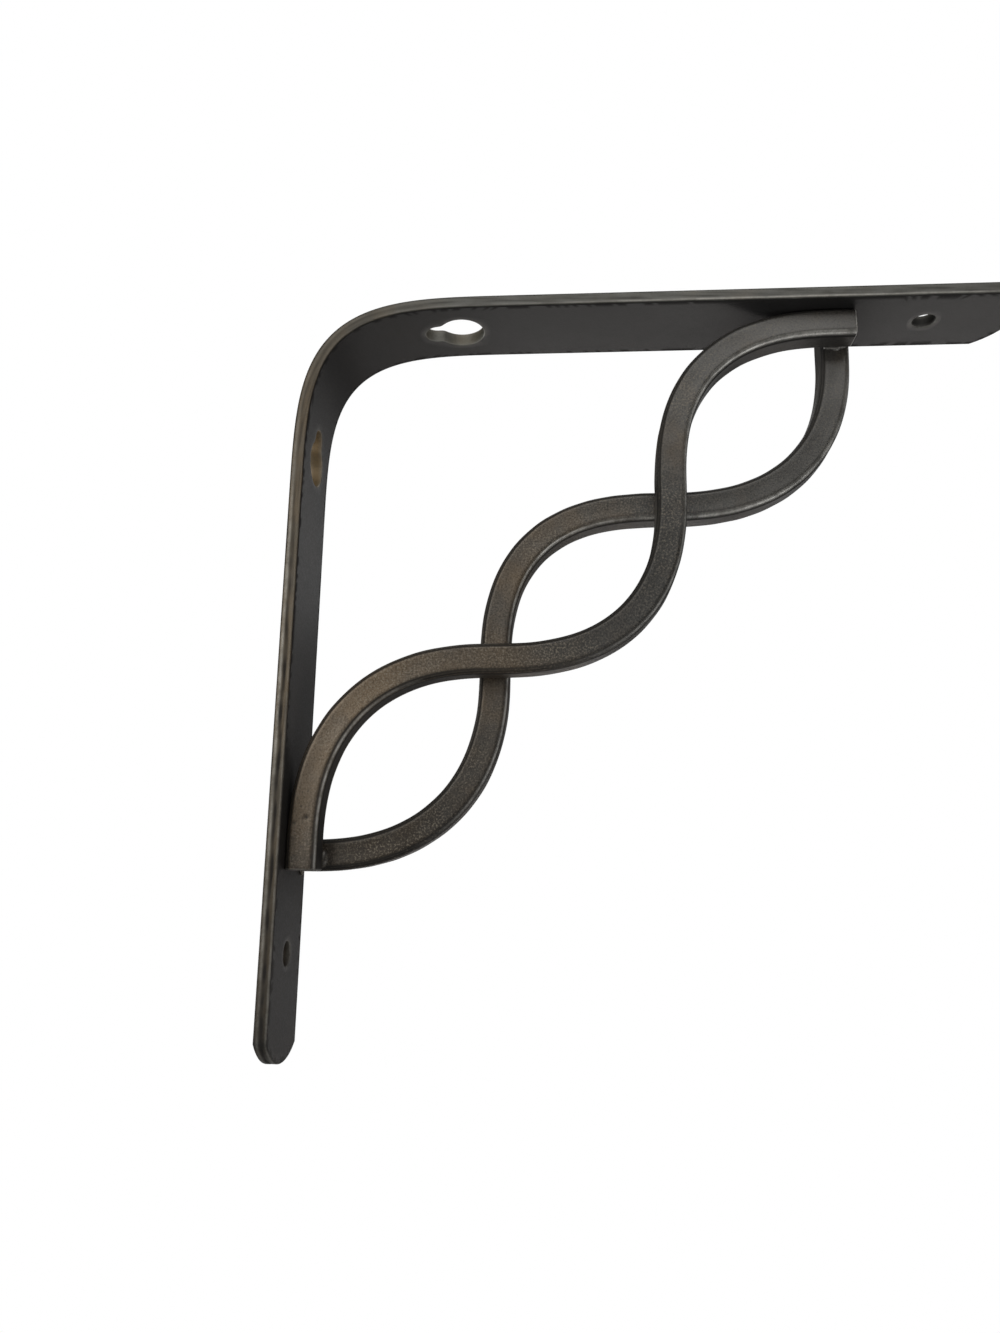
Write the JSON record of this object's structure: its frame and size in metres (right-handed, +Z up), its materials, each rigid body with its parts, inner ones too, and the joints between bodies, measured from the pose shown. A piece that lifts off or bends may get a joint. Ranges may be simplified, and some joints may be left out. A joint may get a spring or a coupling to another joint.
{
  "type": "shelf bracket",
  "caption": "L-shaped steel shelf bracket with a rounded corner, keyholes and screw holes, braced by two crossing wavy square rods.",
  "frame": {"origin": "on the back of the wall arm, which lies against the wall, on the strap's centre line, midway between the wall arm's keyhole and its screw hole", "axes": "+X out from the wall along the shelf arm, +Z up, Y across the strap's width along the wall"},
  "size_m": [0.1972, 0.025, 0.201],
  "materials": {
    "strap_coating": "satin powder coat in dark antique bronze, fine grain, worn brighter along the edges",
    "rod_coating": "satin powder coat in dark antique bronze, fine grain, worn brighter along the edges"
  },
  "bodies": {
    "root": {"bracket_strap": "strap_coating", "front_wave_rod": "rod_coating", "back_wave_rod": "rod_coating"}
  },
  "joints": []
}
